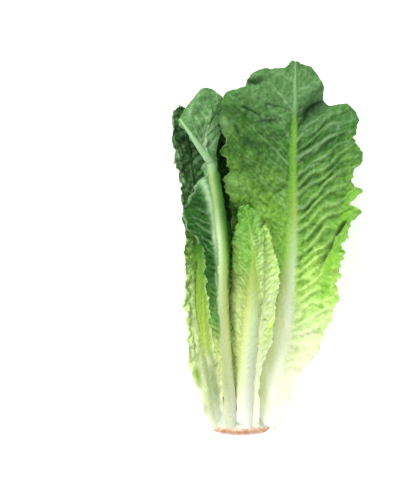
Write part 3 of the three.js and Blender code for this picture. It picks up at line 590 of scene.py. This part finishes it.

# How each leaf is dressed. veins is [share of the length, rise of the side veins per mm outwards on the left
# and on the right, how strong they are on each]. flank is the side of the midrib with the deeper colour, -1
# for left; on the hooded leaf that colour is painted shade. The teeth of the margin calm down at calm and the
# midrib fades from rib_fade on, both as shares of the length. paint has ramps of tones along the leaf, single
# tones, and how strong each layer of colour is.
COMMON_PAINT = dict(
    bright="bright", pale="ivory", dark="night", warm="wheat",
    vein=0.5, net=0.3, groove=0.5, outer=0, mottle=0.25, sheen=0.3, rough=0.5,
)
SHADED = dict(
    slot="leaf_heart", rows=110, columns=20,
    vein_spacing=6, vein_height=0.8, cell=3.4, puff=0.4, crumple=0.4, fold=0.2,
    veins=[[0, 0.9, 0.9, 0.7, 0.7], [1, 0.9, 0.9, 0.7, 0.7]],
    frill=1, tooth=0.5, lobe=0.8, rib_fade=0.6, rib_paint=0.75,
)
DRESS = {
    "broad_leaf": dict(
        slot="leaf_green", rows=340, columns=66,
        vein_spacing=8, left_veins=2, vein_height=2.5, cell=5, puff=0.8, crumple=2, fold=1.2,
        veins=[[0, 1.2, 0.5, 0.1, 0.8], [0.3, 1.2, 0.6, 0.3, 1], [0.5, 1.2, 0.72, 0.35, 1.1],
               [0.7, 1.1, 0.76, 0.25, 1.1], [0.8, 0.9, 0.7, 0.1, 0.6], [0.87, 0.8, 0.6, 0, 0.1],
               [1, 0.8, 0.6, 0, 0]],
        main_spacing=19, main_paint=0.4,
        frill=2.6, frill_size=8, tooth=1.4, lobe=2.2, calm=0.76, rib_fade=0.78, flank=-1,
        paint=dict(
            blade={0: "fog", 0.24: "celery", 0.4: "lime", 0.48: "apple", 0.58: "grass", 0.75: "moss",
                   0.86: "mist"},
            deep={0: "ivory", 0.2: "straw", 0.33: "apple", 0.46: "fern", 0.7: "forest", 1: "bottle"},
            veins={0: "cream", 0.25: "primrose", 0.4: "pale_lime", 0.6: "sage"},
            rib={0: "chalk", 0.2: "cream", 0.36: "cream", 0.48: "jade", 0.58: "olive", 0.7: "grass",
                 0.84: "grass", 0.87: "dusk"},
            flank={0: "ivory", 0.2: "primrose", 0.36: "lemon", 0.48: "spring", 0.58: "grass", 0.7: "leaf",
                   0.84: "leaf", 0.87: "dusk"},
            bright="clover", pale="sage", warm="butter", vein=0.4, net=0.22, outer=0.25, sheen=0.22,
        ),
    ),
    "hooded_leaf": dict(
        slot="leaf_outside", rows=260, columns=44,
        vein_spacing=4.5, vein_height=1.7, cell=5, puff=1.2, crumple=2, fold=1.1,
        veins=[[0, 0.6, 0.4, 0.8, 0.8], [0.7, 0.4, 0.4, 0.8, 0.9], [0.8, 0.3, 0.3, 0.3, 0.3],
               [0.85, 0.3, 0.3, 0, 0.1], [1, 0.3, 0.3, 0.1, 0.1]],
        main_spacing=14, main_height=0.3, main_paint=0.2,
        frill=2.2, frill_size=9, tooth=0.7, lobe=1.2, rib_fade=0.84, flank=1,
        # Its blade is painted from deep green to almost black halfway up, painted shade of the hollow it lies
        # in.
        paint=dict(
            blade={0: "straw", 0.24: "wheat", 0.34: "fern", 0.5: "pine", 0.7: "forest", 0.82: "mist"},
            deep={0: "straw", 0.17: "olive", 0.3: "moss", 0.5: "pine", 0.78: "night", 1: "bottle"},
            veins={0: "straw", 0.26: "wheat", 0.5: "moss", 0.75: "fern", 1: "sage"},
            rib={0: "bone", 0.15: "khaki", 0.35: "khaki", 0.6: "jade", 0.7: "moor", 0.79: "moor",
                 0.82: "sage"},
            flank={0: "bone", 0.3: "wheat", 0.45: "olive", 0.55: "grass", 0.66: "moss", 0.79: "moss",
                   0.82: "dusk", 1: "sage"},
            pale="sage", vein=0.35, net=0.35, groove=0.8, mottle=0.3, sheen=0.14, rough=0.6,
        ),
    ),
    "left_leaf": dict(
        slot="leaf_green", rows=240, columns=40,
        vein_spacing=5.4, vein_height=1, cell=4.6, puff=1.2, crumple=2.4, fold=1.8,
        veins=[[0, 0.6, 0.6, 0.5, 0.6], [1, 0.6, 0.6, 0.3, 0.5]],
        main_spacing=14, main_rise=0.8, main_paint=0.3,
        frill=3.4, frill_size=10, tooth=0.9, lobe=1.4, rib_fade=0.55,
        paint=dict(
            blade={0: "ivory", 0.2: "primrose", 0.42: "pale_lime", 0.52: "spring", 0.6: "leaf",
                   0.68: "bottle"},
            deep={0: "ivory", 0.2: "pale_lime", 0.4: "grass", 0.52: "fern", 0.62: "forest", 1: "night"},
            veins={0: "chalk", 0.35: "celery", 1: "dusk"},
            rib={0: "bone", 0.12: "khaki", 0.2: "khaki", 0.27: "citrus", 0.38: "acid", 0.5: "grass",
                 0.55: "emerald", 0.61: "moss", 0.66: "night"},
            bright="acid", pale="sage", warm="primrose",
            vein=0.35, net=0.25, groove=0.7, outer=0.35, mottle=0.3, rough=0.55,
        ),
    ),
    "heart_leaf_left": dict(
        slot="leaf_heart", rows=220, columns=40,
        vein_spacing=4.6, vein_height=0.5, cell=2.9, puff=1.1, crumple=1.3, fold=0.9,
        veins=[[0, 1.2, 0.7, 0.4, 0.5], [0.7, 1.2, 0.7, 0.35, 0.5], [1, 1.2, 0.7, 0.2, 0.3]],
        frill=1.8, tooth=1.2, lobe=1.3, rib_fade=0.58, rib_paint=1, flank=-1,
        paint=dict(
            blade={0: "straw", 0.3: "wheat", 0.45: "wheat", 0.6: "olive", 0.75: "grass", 1: "emerald"},
            deep={0: "straw", 0.4: "olive", 0.7: "leaf", 1: "fern"},
            veins={0: "ivory", 0.5: "celery", 1: "spring"},
            rib={0: "fog", 0.2: "bone", 0.5: "jade", 0.65: "olive", 0.8: "grass", 1: "leaf"},
            flank={0: "fog", 0.2: "celery", 0.5: "wheat", 0.65: "olive", 0.8: "grass", 1: "leaf"},
            bright="acid", pale="pale_lime", dark="fern", groove=0.35,
        ),
    ),
    "heart_leaf_right": dict(
        slot="leaf_heart", rows=190, columns=36,
        vein_spacing=4.8, vein_height=1.1, cell=3.4, puff=0.9, crumple=1.2, fold=0.7,
        veins=[[0, 1, 0.4, 0.5, 0.7], [1, 1, 0.4, 0.5, 0.7]],
        frill=1.6, tooth=0.9, lobe=1.2, rib_fade=0.5, rib_paint=0.6,
        paint=dict(
            blade={0: "ivory", 0.5: "primrose", 0.75: "pale_lime", 1: "spring"},
            deep={0: "ivory", 0.4: "pale_lime", 0.7: "bright", 1: "apple"},
            veins={0: "chalk", 0.5: "cream", 1: "pale_lime"},
            rib={0: "cream", 0.5: "lemon", 1: "lime"},
            bright="lime", dark="grass", groove=0.6,
        ),
    ),
    "heart_leaf_inner": dict(
        SHADED,
        paint=dict(
            blade={0: "ivory", 0.3: "pale_lime", 0.6: "bright", 1: "apple"},
            deep={0: "celery", 0.4: "olive", 1: "grass"},
            veins={0: "chalk", 0.5: "pale_lime", 1: "lime"},
            rib={0: "cream", 0.5: "celery", 1: "wheat"},
            dark="fern", mottle=0.2,
        ),
    ),
    "heart_leaf_core": dict(
        SHADED, crumple=0.5,
        # Its dark greens are largely painted shade of the deep gap it fills among the heart leaves.
        paint=dict(
            blade={0: "celery", 0.3: "olive", 0.6: "moss", 1: "forest"},
            deep={0: "celery", 0.4: "grass", 1: "moss"},
            veins={0: "chalk", 0.5: "jade", 1: "grass"},
            rib={0: "ivory", 0.5: "olive", 1: "moss"},
            dark="moss", mottle=0.2,
        ),
    ),
}
BACK_GRIDS = {"back_leaf_middle": (140, 36), "back_leaf_left": (200, 44), "back_leaf_right": (200, 44)}
for name, (rows, columns) in BACK_GRIDS.items():
    DRESS[name] = dict(DRESS["broad_leaf"], slot="leaf_outside", rows=rows, columns=columns)

# The marks of patches and creases. Lift raises the blade, smooth flattens its relief, the others are paint.
# Dark is painted shade in folds, pockets and the gaps between leaves, and real brown flecks at the feet;
# bright is a lime tone, partly painted light on flaps and folds that catch the lamp; pale is the pale of
# veins and rims, partly a painted highlight; warm is a yellow tone beside the midribs, partly painted light
# where a leaf above shades the blade.
LIFT, SMOOTH, DARK, BRIGHT, PALE, WARM = "lift", "smooth", "dark", "bright", "pale", "warm"

# A patch is (x, y, half length, half width, direction in degrees, marks), in plan.
PATCHES = {
    "broad_leaf": [
        (-8, 120, 7, 2, 8, {LIFT: -3.5, DARK: 0.8}),
        (-9, 124, 8, 2, 12, {LIFT: 1.6}),
        (3, 92, 8, 2.5, 5, {LIFT: -2.6, DARK: 0.6}),
        (35, 102, 12, 6, 32, {LIFT: -5, DARK: 1}),
        (27, 92, 7, 3, 60, {LIFT: -2, DARK: 0.4}),
        (-10, 76, 7, 3, -20, {LIFT: -1.5, DARK: 0.4}),
        (6, 118, 25, 11, -12, {SMOOTH: 0.6}),
        (32, 122, 13, 12, 0, {SMOOTH: 0.6}),
        (-8, 72, 7, 4.5, -40, {DARK: 0.5}),
        (31, 72, 16, 6, 40, {DARK: 0.2}),
        (-31, 89, 7, 4.5, -50, {LIFT: 1, BRIGHT: 0.2, PALE: 0.35, SMOOTH: 0.5}),
        (60, 101, 4.5, 6.5, 0, {LIFT: 1.5}),
        (-26, 46, 7, 6.5, 30, {LIFT: 1.8, BRIGHT: 0.35, PALE: 0.2}),
        (-14, 58, 8, 3, -45, {LIFT: -1.4, DARK: 0.35}),
        (-3, 42, 10, 3, -50, {LIFT: -1, DARK: 0.25}),
        (43, -4, 14, 2.5, -116, {LIFT: -1.2, DARK: 0.35}),
        (54, 14, 10, 1.5, -124, {LIFT: -1.6, DARK: 0.3}),
        (48, -10, 18, 4, -113, {LIFT: 2, SMOOTH: 0.75, BRIGHT: 0.9}),
        (59, 25, 8, 4.5, -120, {LIFT: 1, SMOOTH: 0.4, BRIGHT: 0.8}),
        (64, 38, 4.5, 3.5, 40, {SMOOTH: 0.5, BRIGHT: 0.75}),
        (43, -30, 7, 3.5, -110, {BRIGHT: 0.8}),
        (12, -10, 29, 6, -82, {SMOOTH: 0.6, BRIGHT: 0.4}),
        (0, 29, 16, 10, -50, {BRIGHT: 0.3}),
        (4, -58, 29, 6, -78, {SMOOTH: 0.8}),
        (10, -37, 36, 3, -80, {WARM: 0.4}),
        (-3, -98, 24, 3.5, -76, {WARM: 0.7, SMOOTH: 0.6}),
        (2, -75, 18, 4.5, -78, {WARM: 0.5}),
    ],
    "hooded_leaf": [
        (-50, 36, 8, 3, -80, {DARK: 0.7, LIFT: -0.6}),
        (-45, -30, 10, 3.5, -85, {DARK: 0.35}),
        (-38, 9, 8, 1.5, -82, {PALE: 0.6, SMOOTH: 0.5}),
        (-50, -7, 8, 3, -80, {DARK: 0.6}),
        (-44, 74, 5, 3, -80, {PALE: 0.6}),
        (-39, 78, 6, 3.5, -68, {PALE: 0.25}),
        (-35, -26, 18, 1, -85, {PALE: 0.5, SMOOTH: 0.5}),
        (-45, 60, 8, 3, -80, {PALE: 0.6}),
        (-54, 24, 5, 2, 0, {DARK: 0.3}),
        (-49, 97, 4.5, 1.5, 35, {LIFT: -1.2, DARK: 0.5}),
        (-46, 87, 3, 1.5, 60, {LIFT: -1, DARK: 0.45}),
        (-38, 94, 5, 1.5, 60, {LIFT: -1.2, DARK: 0.4}),
        (-42, 107, 4.5, 2, 20, {LIFT: -0.8, DARK: 0.3}),
        (-34, 86, 4.5, 3, 60, {DARK: 0.6}),
        (-55, 97, 6.5, 1.5, 75, {PALE: 0.4, SMOOTH: 0.4}),
        (-26, 10, 29, 3, -84, {DARK: 0.75, SMOOTH: 0.4}),
        (-30, 50, 10, 2, -70, {DARK: 0.7}),
        (-29, -125, 1.5, 1.2, 0, {DARK: 0.4}),
    ],
    "left_leaf": [
        (-52, 80, 12, 4.5, -70, {DARK: 1}),
        (-47, 35, 11, 3.5, -80, {DARK: 0.4}),
        (-61, 50, 18, 1, -72, {PALE: 0.35}),
        (-47, -26, 30, 4.5, -84, {SMOOTH: 0.9}),
        (-42, -73, 24, 4.5, -76, {SMOOTH: 0.9}),
        (-50, -92, 8, 2, -80, {SMOOTH: 0.6, BRIGHT: 0.9}),
        (-55, -74, 6, 1, -85, {DARK: 0.7}),
        (-47, -94, 18, 2, -74, {WARM: 0.8, SMOOTH: 0.7}),
        (-41, -82, 6, 2, -70, {WARM: 0.5}),
    ],
    "heart_leaf_left": [
        (-21, -46, 22, 2.5, -88, {PALE: 0.4}),
        (-10, 4, 6.5, 1, -80, {WARM: 0.5}),
        (-4, -17, 29, 3, -88, {PALE: 0.55}),
        (-24, -37, 36, 2, -90, {WARM: 0.35}),
        (-20, -73, 23, 3, -86, {WARM: 0.9, SMOOTH: 0.6}),
        (-24, -64, 10, 1, -86, {PALE: 0.7}),
        (-19, -126, 2, 1.3, 0, {DARK: 0.7}),
    ],
    "heart_leaf_right": [
        (3, -54, 5, 1, 55, {LIFT: 2, BRIGHT: 1}),
        (0, -64, 8, 1.5, -105, {LIFT: 1, BRIGHT: 0.8}),
        (-6, -126, 1.5, 1.2, 0, {DARK: 0.6}),
    ],
    "back_leaf_left": [
        (-27, 17, 29, 6.5, -88, {DARK: 1}),
        (-31, 71, 24, 7, -85, {DARK: 1}),
    ],
}

# A crease is (points, half width, marks), in plan.
CREASES = {
    "broad_leaf": [
        ([(-17, 102), (-9, 98), (-5, 95)], 0.9, {LIFT: -2.5, DARK: 1}),
        ([(1, 104), (14, 102)], 0.9, {LIFT: -1.5, DARK: 0.7}),
        ([(-22, 88), (-19, 78)], 1.4, {LIFT: -2, DARK: 0.7}),
        ([(56, 18), (50, 8), (41, -11), (38, -19)], 1.4, {LIFT: -1.4, DARK: 0.6, SMOOTH: 0.4}),
        ([(21, 120), (4, 129)], 0.6, {LIFT: 0.3, PALE: 0.3}),
        ([(20, 98), (11, 110), (4, 119), (-3, 120)], 0.7, {LIFT: 0.5, PALE: 0.35}),
        ([(20, 74), (11, 90), (2, 104)], 0.7, {LIFT: 0.5, PALE: 0.3}),
        ([(19, 58), (6, 72), (-9, 86), (-8, 93)], 0.75, {LIFT: 0.6, PALE: 0.35}),
        ([(18, 45), (-5, 61), (-16, 67), (-21, 75)], 0.7, {LIFT: 0.6, PALE: 0.2}),
        ([(18, 35), (-3, 48), (-14, 56), (-22, 60)], 0.7, {LIFT: 0.6, PALE: 0.1}),
        ([(-6, 93), (8, 94), (10, 90)], 0.7, {LIFT: 0.8, PALE: 0.2}),
        ([(22, 116), (40, 116)], 0.6, {LIFT: 0.3, PALE: 0.25}),
        ([(23, 77), (29, 88), (40, 96)], 0.7, {LIFT: 0.8, PALE: 0.3}),
        ([(23, 66), (38, 75), (50, 83), (53, 89)], 1.1, {LIFT: 1.3, PALE: 0.4}),
        ([(24, 54), (39, 63), (56, 75)], 1, {LIFT: 1, PALE: 0.3}),
    ],
    "hooded_leaf": [
        ([(-47, 50), (-43, 42), (-40, 33), (-37, 14), (-35, -10)], 2.5, {PALE: 0.95, SMOOTH: 0.7}),
        ([(-45, -6), (-44, -30), (-41, -40)], 0.6, {PALE: 0.35, LIFT: 0.5}),
        ([(-59, 28), (-57, 14), (-50, 8), (-45, -6)], 0.7, {PALE: 0.7, LIFT: 0.6}),
        ([(-42, 52), (-47, 51), (-50, 47), (-54, 35), (-58, 30)], 0.9, {PALE: 0.9, LIFT: 0.8}),
        ([(-38, -4), (-48, 5)], 0.6, {PALE: 0.25, LIFT: 0.5}),
        ([(-39, 3), (-49, 12), (-55, 12)], 0.6, {PALE: 0.3, LIFT: 0.6}),
        ([(-40, 11), (-50, 18), (-56, 17)], 0.6, {PALE: 0.35, LIFT: 0.6}),
        ([(-41, 18), (-52, 23), (-57, 22)], 0.6, {PALE: 0.3, LIFT: 0.5}),
        ([(-42, 25), (-48, 28), (-54, 28)], 0.6, {PALE: 0.25, LIFT: 0.4}),
        ([(-43, 64), (-43, 82), (-40, 98), (-37, 104)], 0.8, {PALE: 0.6, LIFT: 0.6}),
        ([(-43, 77), (-47, 87), (-53, 97)], 0.6, {PALE: 0.5, LIFT: 0.5}),
        ([(-43, 81), (-38, 88), (-35, 94)], 0.6, {PALE: 0.5, LIFT: 0.5}),
        ([(-42, 91), (-47, 98), (-49, 106)], 0.6, {PALE: 0.45, LIFT: 0.4}),
        ([(-44, 71), (-50, 81), (-55, 95)], 0.6, {PALE: 0.4, LIFT: 0.3}),
        ([(-41, 97), (-45, 104), (-45, 110)], 0.5, {PALE: 0.4, LIFT: 0.4}),
        ([(-40, 71), (-34, 83)], 0.5, {PALE: 0.35, LIFT: 0.4}),
        ([(-51, 92), (-42, 92)], 0.5, {PALE: 0.35, LIFT: 0.4}),
        ([(-42, 61), (-36, 62)], 0.7, {DARK: 0.5}),
    ],
    "left_leaf": [
        ([(-50, -10), (-51, -30), (-50, -50), (-48, -60)], 0.8, {LIFT: -1, DARK: 0.6}),
        ([(-46, -37), (-46, -55), (-45, -70)], 0.6, {LIFT: -0.4, WARM: 0.4}),
        ([(-67, 96), (-66, 81), (-59, 45), (-58, 35)], 0.6, {PALE: 0.5, LIFT: 0.5}),
        ([(-62, 86), (-59, 81), (-55, 83)], 0.7, {LIFT: 0.8, PALE: 0.2}),
        ([(-63, 76), (-59, 73), (-55, 76)], 0.7, {LIFT: 0.8, PALE: 0.2}),
        ([(-59, 74), (-57, 68), (-60, 60)], 0.7, {LIFT: 0.8, PALE: 0.25}),
        ([(-63, 66), (-58, 63), (-55, 65)], 0.7, {LIFT: 0.8, PALE: 0.2}),
        ([(-60, 50), (-57, 45), (-58, 36)], 0.7, {LIFT: 0.8, PALE: 0.25}),
        ([(-58, 30), (-55, 39), (-53, 49), (-54, 56)], 0.7, {LIFT: 1, PALE: 0.55}),
        ([(-60, 9), (-56, 7), (-54, 2)], 0.6, {LIFT: 0.8, PALE: 0.4}),
        ([(-60, -1), (-54, -8)], 0.6, {LIFT: -0.6, DARK: 0.5}),
        ([(-59, -10), (-55, -20)], 0.6, {LIFT: -0.6, DARK: 0.45}),
        ([(-59, -22), (-54, -32)], 0.6, {LIFT: -0.6, DARK: 0.35}),
    ],
    "heart_leaf_right": [
        ([(-3, -51), (1, -52), (5, -49)], 0.7, {LIFT: -1.8, DARK: 0.4}),
        ([(-1, -59), (2, -52)], 0.7, {LIFT: -1, DARK: 0.3}),
    ],
}


# ---- materials ----

def linear(colour):
    """An sRGB hex colour as linear RGBA."""
    parts = [int(colour[i : i + 2], 16) / 255 for i in (1, 3, 5)]
    return [c / 12.92 if c <= 0.04045 else ((c + 0.055) / 1.055) ** 2.4 for c in parts] + [1.0]


def add_node(tree, kind, settings=None, links=None, out=0, stops=None):
    """Adds a node, links sockets to it or sets their values, and returns one of its outputs."""
    node = tree.nodes.new("ShaderNode" + kind)
    for name, value in (settings or {}).items():
        setattr(node, name, value)
    for name, value in (links or {}).items():
        if isinstance(value, bpy.types.NodeSocket):
            tree.links.new(value, node.inputs[name])
        else:
            node.inputs[name].default_value = value
    if stops:
        elements = node.color_ramp.elements
        while len(elements) < len(stops):
            elements.new(0.5)
        for element, (position, tone) in zip(elements, stops.items()):
            element.position = position
            element.color = linear(TISSUE[tone])
    return node.outputs[out] if len(node.outputs) else None


def new_material(name):
    material = bpy.data.materials.new(name)
    material.use_nodes = True
    tree = material.node_tree
    tree.nodes.clear()
    return material, tree


FACTOR, FIRST, SECOND, MIXED = 0, 6, 7, 2  # sockets of a Mix node that mixes colours


def mix_colours(tree, share, first, second):
    links = {FACTOR: share, FIRST: first, SECOND: second}
    return add_node(tree, "Mix", {"data_type": "RGBA"}, links, out=MIXED)


def noise(tree, place, scale, detail=2.0):
    return add_node(tree, "TexNoise", {}, {"Vector": place, "Scale": scale, "Detail": detail}, out="Fac")


# Scales of the random patterns, in lumps a metre.
CLOUDS = 70.0  # of 14 mm
THICK_PATCHES = 140.0  # of 7 mm
FRECKLES = 430.0  # of 2 mm
PORES = 1250.0  # of 0.8 mm
SKIN_CLOUDS = 260.0  # of 4 mm
SKIN_FLECKS = 700.0  # of 1.5 mm
LAMINATE_GRAIN = 900.0  # of 1 mm

CLOUD_SHIFT = 0.16  # share of the length by which clouds shift where the green begins
ROUGH_SPREAD = 0.08  # how much rougher or smoother the skin is in places


def leaf_tissue(name, paint):
    """Living lettuce tissue: a thin waxy skin over moist green cells, white where the light never reached.

    The eye gets pale raised veins, darker hollows between them painted as shade, a slow change from white to
    green along the leaf and a faint wet sheen. Marks on top add painted shade in folds and gaps and painted
    light on lit flaps.
    """
    material, tree = new_material(name)
    place = add_node(tree, "TexCoord", out="Object")
    mark = {key: add_node(tree, "Attribute", {"attribute_name": key}, out="Fac")
            for key in ("along", "rib", "flank", "vein", "net", "groove", "outer", DARK, BRIGHT, PALE, WARM)}
    amount = {key: add_node(tree, "Math", {"operation": "MULTIPLY"}, {0: mark[key], 1: paint[key]})
              for key in ("groove", "net", "vein", "outer")}

    clouds = noise(tree, place, CLOUDS, 3.0)
    shift = add_node(tree, "Math", {"operation": "MULTIPLY_ADD"},
                     {0: clouds, 1: CLOUD_SHIFT, 2: -CLOUD_SHIFT / 2})
    reach = add_node(tree, "Math", {"operation": "ADD", "use_clamp": True}, {0: mark["along"], 1: shift})
    ramps = {"blade": reach, "deep": reach, "veins": reach, "rib": mark["along"], "flank": mark["along"]}
    tone = {key: add_node(tree, "ValToRGB", {}, {"Fac": at}, stops=paint[key])
            for key, at in ramps.items() if key in paint}
    rib = mix_colours(tree, mark["flank"], tone["rib"], tone["flank"]) if "flank" in paint else tone["rib"]

    # Freckles are the small blisters between the finest veins. Thick patches are deeper in colour.
    cells = noise(tree, place, FRECKLES)
    freckle = add_node(tree, "MapRange", {}, {"Value": cells, "From Min": 0.42, "From Max": 0.68,
                                              "To Min": 0.0, "To Max": 0.65})
    thick = noise(tree, place, THICK_PATCHES, 4.0)
    thick = add_node(tree, "MapRange", {}, {"Value": thick, "From Min": 0.5, "From Max": 0.68,
                                            "To Max": paint["mottle"]})

    # The layers of colour, from the blade up. The groove layer is painted shade, the rib's flank partly so,
    # and the warm, bright, pale and dark marks are partly painted light and shade. A leaf's outer face is
    # paler and greyer than its inner one.
    layers = [(freckle, tone["deep"]), (thick, tone["deep"]), (amount["groove"], tone["deep"]),
              (amount["net"], tone["veins"]), (amount["vein"], tone["veins"]), (mark["rib"], rib)]
    layers += [(mark[key], linear(TISSUE[paint[key]])) for key in (WARM, BRIGHT, PALE, DARK)]
    layers.append((amount["outer"], linear(TISSUE["celery"])))
    colour = tone["blade"]
    for share, layer in layers:
        colour = mix_colours(tree, share, colour, layer)

    # Pores and cell bundles, and the freckles, stand out a little.
    pores = add_node(tree, "TexVoronoi", {}, {"Vector": place, "Scale": PORES}, out="Distance")
    relief = add_node(tree, "Math", {"operation": "MULTIPLY_ADD"}, {0: pores, 1: 0.25, 2: cells})
    bump = add_node(tree, "Bump", {}, {"Strength": 0.8, "Distance": 0.0009, "Height": relief})
    rough = add_node(tree, "MapRange", {}, {"Value": clouds, "To Min": paint["rough"] - ROUGH_SPREAD,
                                            "To Max": paint["rough"] + ROUGH_SPREAD})
    skin = add_node(tree, "BsdfPrincipled", {}, {
        "Base Color": colour, "Roughness": rough, "Normal": bump, "IOR": 1.4,
        "Specular IOR Level": paint["sheen"], "Subsurface Weight": 0.15, "Subsurface Scale": 0.0015,
        "Subsurface Radius": (0.7, 1.0, 0.35),
    })
    add_node(tree, "OutputMaterial", {}, {"Surface": skin})
    return material


def cut_stem_tissue():
    """The stem of a lettuce, cut with a knife some days ago.

    The cut has dried to an orange brown skin with darker flecks where milk sap has browned, and the flesh
    behind it is pale.
    """
    material, tree = new_material("cut_stem_tissue")
    place = add_node(tree, "TexCoord", out="Object")
    behind = add_node(tree, "SeparateXYZ", {}, {"Vector": place}, out="Y")
    clouds = noise(tree, place, SKIN_CLOUDS, 4.0)
    flecks = noise(tree, place, SKIN_FLECKS)
    waver = add_node(tree, "Math", {"operation": "MULTIPLY_ADD"}, {0: clouds, 1: SKIN_WAVERS * MM, 2: behind})
    fade = add_node(tree, "MapRange", {}, {"Value": waver, "From Min": (CUT_Y + SKIN_FADES) * MM,
                                           "From Max": (CUT_Y + SKIN_ENDS) * MM})
    skin = add_node(tree, "ValToRGB", {}, {"Fac": clouds},
                    stops={0.3: "rust", 0.45: "tan", 0.6: "biscuit", 0.75: "sand"})
    speck = add_node(tree, "MapRange", {}, {"Value": flecks, "From Min": 0.6, "From Max": 0.72,
                                            "To Max": 0.8})
    skin = mix_colours(tree, speck, skin, linear(TISSUE["bark"]))
    colour = mix_colours(tree, fade, skin, linear(TISSUE["bone"]))
    bump = add_node(tree, "Bump", {}, {"Strength": 0.5, "Distance": 0.0008, "Height": clouds})
    flesh = add_node(tree, "BsdfPrincipled", {}, {
        "Base Color": colour, "Roughness": 0.55, "Normal": bump, "IOR": 1.4, "Subsurface Weight": 0.2,
        "Subsurface Scale": 0.003, "Subsurface Radius": (1.0, 0.8, 0.5),
    })
    add_node(tree, "OutputMaterial", {}, {"Surface": flesh})
    return material


def pale_table():
    """Matt white laminate, with a faint grain. It also glows faintly, which lightens the shadows on it."""
    material, tree = new_material("white_laminate")
    place = add_node(tree, "TexCoord", out="Object")
    specks = noise(tree, place, LAMINATE_GRAIN)
    tone = add_node(tree, "MapRange", {}, {"Value": specks, "To Min": 0.93, "To Max": 0.97})
    surface = add_node(tree, "BsdfPrincipled", {}, {
        "Base Color": tone, "Roughness": 0.7, "Specular IOR Level": 0.2, "Emission Strength": 0.3,
        "Emission Color": linear("#FFFFFF"),
    })
    add_node(tree, "OutputMaterial", {}, {"Surface": surface})
    return material


# ---- the pieces ----

def add_stem(material):
    """The cut stem, turned from its profile and roughened."""
    bm = bmesh.new()
    x, z = STEM_CENTRE
    verts = [bm.verts.new((x + radius, CUT_Y + y, z)) for radius, y in STEM_PROFILE]
    edges = [bm.edges.new(pair) for pair in zip(verts, verts[1:])]
    bmesh.ops.subdivide_edges(bm, edges=edges, cuts=3)
    bmesh.ops.spin(bm, geom=bm.verts[:] + bm.edges[:], cent=(x, 0, z), axis=(0, 1, 0), angle=2 * np.pi,
                   steps=STEM_SIDES, use_merge=True)
    bmesh.ops.remove_doubles(bm, verts=bm.verts, dist=0.001)
    bmesh.ops.holes_fill(bm, edges=[edge for edge in bm.edges if edge.is_boundary])
    bmesh.ops.recalc_face_normals(bm, faces=bm.faces)
    points = np.array([vert.co for vert in bm.verts])
    radial = np.stack([points[:, 0] - x, points[:, 2] - z], 1)
    distance = np.linalg.norm(radial, axis=1)
    turn = np.arctan2(radial[:, 1], radial[:, 0])
    ring = sum(part * grain(turn * lumps, points[:, 1] / length + shift, 70 + k)
               for k, (lumps, length, shift, part) in enumerate(STEM_RIDGES))
    scale = 1 + STEM_WAVER * ring * smooth_step(3, 18, distance)
    rough = CUT_ROUGHNESS * grain(points[:, 0] / CUT_LUMP, points[:, 2] / CUT_LUMP, 72)
    rough = rough * smooth_step(0, 3, 6 - (points[:, 1] - CUT_Y))
    points[:, 0] = x + radial[:, 0] * scale
    points[:, 2] = z + radial[:, 1] * scale
    points[:, 1] += rough
    for vert, co in zip(bm.verts, keep_in_box((points + PLACE) * MM)):
        vert.co = co
    add_piece("stem_dressed", "stem", new_mesh("stem", bm), material)


add_stem(cut_stem_tissue())
for name, shape in LEAVES.items():
    leaf = {**COMMON, **shape, **DRESS[name], "name": name}
    add_leaf(leaf, leaf_tissue(name + "_tissue", {**COMMON_PAINT, **leaf["paint"]}))


# ---- floor, light and size ----

def add_floor():
    bm = bmesh.new()
    bmesh.ops.create_grid(bm, x_segments=8, y_segments=8, size=FLOOR_REACH)
    floor = new_object("floor", new_mesh("floor", bm))
    floor.data.materials.append(pale_table())


def add_window():
    lamp = bpy.data.lights.new("window", "AREA")
    lamp.size = WINDOW_SIZE
    lamp.energy = WINDOW_POWER
    light = new_object("window", lamp)
    light.location = WINDOW_PLACE
    light.rotation_euler = (-Vector(WINDOW_PLACE)).to_track_quat("-Z", "Y").to_euler()


def add_sky():
    world = bpy.data.worlds.new("studio")
    bpy.context.scene.world = world
    world.use_nodes = True
    background = world.node_tree.nodes["Background"]
    background.inputs["Color"].default_value = linear("#FFFFFF")
    background.inputs["Strength"].default_value = SKY


add_floor()
add_sky()
add_window()
bpy.context.scene.view_settings.view_transform = "Standard"
